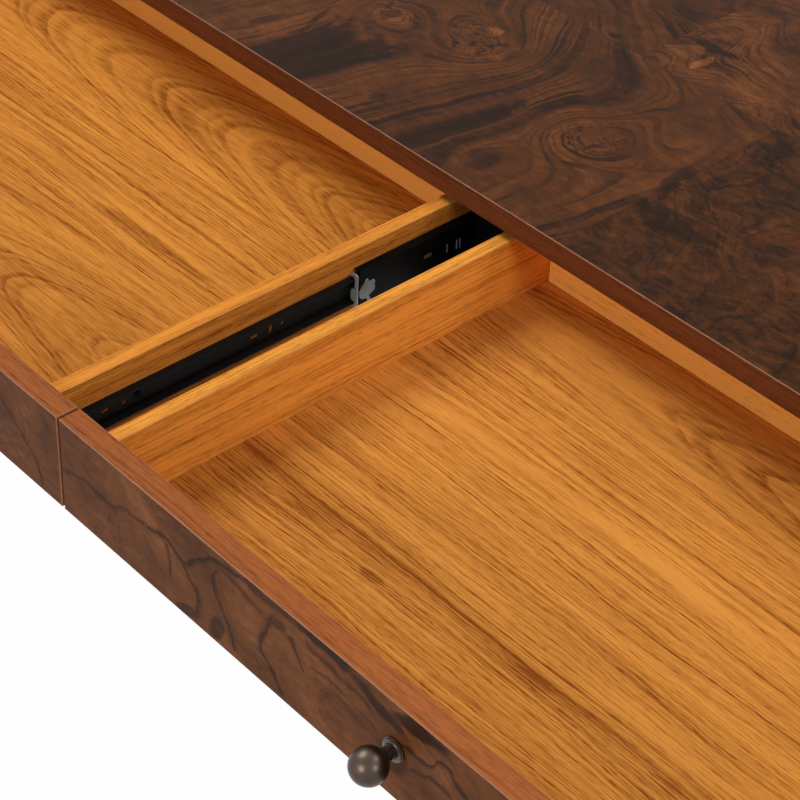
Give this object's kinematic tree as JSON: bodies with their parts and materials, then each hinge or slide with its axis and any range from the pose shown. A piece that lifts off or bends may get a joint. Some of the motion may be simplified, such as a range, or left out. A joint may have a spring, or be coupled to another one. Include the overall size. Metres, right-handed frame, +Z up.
{
  "type": "desk",
  "caption": "Desk with a burl-veneered top over side-by-side drawers on telescopic slides, each pulled by a ball knob, on tapered legs.",
  "frame": {"origin": "on the floor under the middle of the desk and its open drawers", "axes": "+X along the width to the sitter's right, -Y the way the drawers pull out, +Z up"},
  "size_m": [1.568, 1.2066, 0.76],
  "materials": {
    "burl_veneer": "satin lacquered burl veneer with dark figure",
    "walnut": "satin lacquered straight-grained walnut",
    "oak": "satin lacquered orange-toned oak",
    "black_paint": "matt black paint on wood",
    "black_steel": "black electrocoated steel",
    "zinc": "bright zinc-plated steel",
    "gunmetal": "dark polished metal",
    "glide_plastic": "moulded black plastic"
  },
  "bodies": {
    "desk": {"back_panel": "walnut", "centre_divider": "black_paint", "desktop": "burl_veneer", "front_bottom_rail": "walnut", "front_left_glide": "glide_plastic", "front_left_leg": "walnut", "front_left_leg_plate": "black_steel", "front_right_glide": "glide_plastic", "front_right_leg": "walnut", "front_right_leg_plate": "black_steel", "left_drawer_inboard_slide_cabinet_member": "black_steel", "left_drawer_outboard_slide_cabinet_member": "black_steel", "left_side_panel": "walnut", "rear_bottom_rail": "walnut", "rear_left_glide": "glide_plastic", "rear_left_leg": "walnut", "rear_left_leg_plate": "black_steel", "rear_right_glide": "glide_plastic", "rear_right_leg": "walnut", "rear_right_leg_plate": "black_steel", "right_drawer_inboard_slide_cabinet_member": "black_steel", "right_drawer_outboard_slide_cabinet_member": "black_steel", "right_side_panel": "walnut"},
    "left_drawer": {"left_drawer_back": "oak", "left_drawer_floor": "oak", "left_drawer_front": "burl_veneer", "left_drawer_inboard_side": "oak", "left_drawer_inboard_slide_drawer_member": "black_steel", "left_drawer_knob": "gunmetal", "left_drawer_knob_collar": "gunmetal", "left_drawer_knob_screw": "zinc", "left_drawer_outboard_side": "oak", "left_drawer_outboard_slide_drawer_member": "black_steel"},
    "right_drawer": {"right_drawer_back": "oak", "right_drawer_floor": "oak", "right_drawer_front": "burl_veneer", "right_drawer_inboard_side": "oak", "right_drawer_inboard_slide_drawer_member": "black_steel", "right_drawer_knob": "gunmetal", "right_drawer_knob_collar": "gunmetal", "right_drawer_knob_screw": "zinc", "right_drawer_outboard_side": "oak", "right_drawer_outboard_slide_drawer_member": "black_steel"},
    "left_drawer_inboard_slide_middle": {"left_drawer_inboard_slide_end_stop": "zinc", "left_drawer_inboard_slide_middle_member": "black_steel"},
    "left_drawer_inboard_slide_outer_cage": {"left_drawer_inboard_slide_outer_ball_cage": "zinc"},
    "left_drawer_inboard_slide_inner_cage": {"left_drawer_inboard_slide_inner_ball_cage": "zinc"},
    "left_drawer_outboard_slide_middle": {"left_drawer_outboard_slide_end_stop": "zinc", "left_drawer_outboard_slide_middle_member": "black_steel"},
    "left_drawer_outboard_slide_outer_cage": {"left_drawer_outboard_slide_outer_ball_cage": "zinc"},
    "left_drawer_outboard_slide_inner_cage": {"left_drawer_outboard_slide_inner_ball_cage": "zinc"},
    "right_drawer_inboard_slide_middle": {"right_drawer_inboard_slide_end_stop": "zinc", "right_drawer_inboard_slide_middle_member": "black_steel"},
    "right_drawer_inboard_slide_outer_cage": {"right_drawer_inboard_slide_outer_ball_cage": "zinc"},
    "right_drawer_inboard_slide_inner_cage": {"right_drawer_inboard_slide_inner_ball_cage": "zinc"},
    "right_drawer_outboard_slide_middle": {"right_drawer_outboard_slide_end_stop": "zinc", "right_drawer_outboard_slide_middle_member": "black_steel"},
    "right_drawer_outboard_slide_outer_cage": {"right_drawer_outboard_slide_outer_ball_cage": "zinc"},
    "right_drawer_outboard_slide_inner_cage": {"right_drawer_outboard_slide_inner_ball_cage": "zinc"}
  },
  "joints": [
    {"name": "left_drawer_slide", "type": "slide", "parent": "desk", "child": "left_drawer", "axis": [0, -1, 0], "range_m": [-0.433, 0.012]},
    {"name": "right_drawer_slide", "type": "slide", "parent": "desk", "child": "right_drawer", "axis": [0, -1, 0], "range_m": [-0.433, 0.012]},
    {"name": "left_drawer_inboard_slide_middle_run", "type": "slide", "parent": "desk", "child": "left_drawer_inboard_slide_middle", "axis": [0, -1, 0], "range_m": [-0.14453, 0.0042]},
    {"name": "left_drawer_inboard_slide_outer_cage_run", "type": "slide", "parent": "desk", "child": "left_drawer_inboard_slide_outer_cage", "axis": [0, -1, 0], "range_m": [-0.07237, 0.0022]},
    {"name": "left_drawer_inboard_slide_inner_cage_run", "type": "slide", "parent": "desk", "child": "left_drawer_inboard_slide_inner_cage", "axis": [0, -1, 0], "range_m": [-0.28887, 0.0082]},
    {"name": "left_drawer_outboard_slide_middle_run", "type": "slide", "parent": "desk", "child": "left_drawer_outboard_slide_middle", "axis": [0, -1, 0], "range_m": [-0.14453, 0.0042]},
    {"name": "left_drawer_outboard_slide_outer_cage_run", "type": "slide", "parent": "desk", "child": "left_drawer_outboard_slide_outer_cage", "axis": [0, -1, 0], "range_m": [-0.07237, 0.0022]},
    {"name": "left_drawer_outboard_slide_inner_cage_run", "type": "slide", "parent": "desk", "child": "left_drawer_outboard_slide_inner_cage", "axis": [0, -1, 0], "range_m": [-0.28887, 0.0082]},
    {"name": "right_drawer_inboard_slide_middle_run", "type": "slide", "parent": "desk", "child": "right_drawer_inboard_slide_middle", "axis": [0, -1, 0], "range_m": [-0.14453, 0.0042]},
    {"name": "right_drawer_inboard_slide_outer_cage_run", "type": "slide", "parent": "desk", "child": "right_drawer_inboard_slide_outer_cage", "axis": [0, -1, 0], "range_m": [-0.07237, 0.0022]},
    {"name": "right_drawer_inboard_slide_inner_cage_run", "type": "slide", "parent": "desk", "child": "right_drawer_inboard_slide_inner_cage", "axis": [0, -1, 0], "range_m": [-0.28887, 0.0082]},
    {"name": "right_drawer_outboard_slide_middle_run", "type": "slide", "parent": "desk", "child": "right_drawer_outboard_slide_middle", "axis": [0, -1, 0], "range_m": [-0.14453, 0.0042]},
    {"name": "right_drawer_outboard_slide_outer_cage_run", "type": "slide", "parent": "desk", "child": "right_drawer_outboard_slide_outer_cage", "axis": [0, -1, 0], "range_m": [-0.07237, 0.0022]},
    {"name": "right_drawer_outboard_slide_inner_cage_run", "type": "slide", "parent": "desk", "child": "right_drawer_outboard_slide_inner_cage", "axis": [0, -1, 0], "range_m": [-0.28887, 0.0082]}
  ],
  "couplings": [
    {"joint": "left_drawer_inboard_slide_middle_run", "follows": "left_drawer_slide", "ratio": 0.33333},
    {"joint": "left_drawer_inboard_slide_outer_cage_run", "follows": "left_drawer_slide", "ratio": 0.16667},
    {"joint": "left_drawer_inboard_slide_inner_cage_run", "follows": "left_drawer_slide", "ratio": 0.66667},
    {"joint": "left_drawer_outboard_slide_middle_run", "follows": "left_drawer_slide", "ratio": 0.33333},
    {"joint": "left_drawer_outboard_slide_outer_cage_run", "follows": "left_drawer_slide", "ratio": 0.16667},
    {"joint": "left_drawer_outboard_slide_inner_cage_run", "follows": "left_drawer_slide", "ratio": 0.66667},
    {"joint": "right_drawer_inboard_slide_middle_run", "follows": "right_drawer_slide", "ratio": 0.33333},
    {"joint": "right_drawer_inboard_slide_outer_cage_run", "follows": "right_drawer_slide", "ratio": 0.16667},
    {"joint": "right_drawer_inboard_slide_inner_cage_run", "follows": "right_drawer_slide", "ratio": 0.66667},
    {"joint": "right_drawer_outboard_slide_middle_run", "follows": "right_drawer_slide", "ratio": 0.33333},
    {"joint": "right_drawer_outboard_slide_outer_cage_run", "follows": "right_drawer_slide", "ratio": 0.16667},
    {"joint": "right_drawer_outboard_slide_inner_cage_run", "follows": "right_drawer_slide", "ratio": 0.66667}
  ]
}
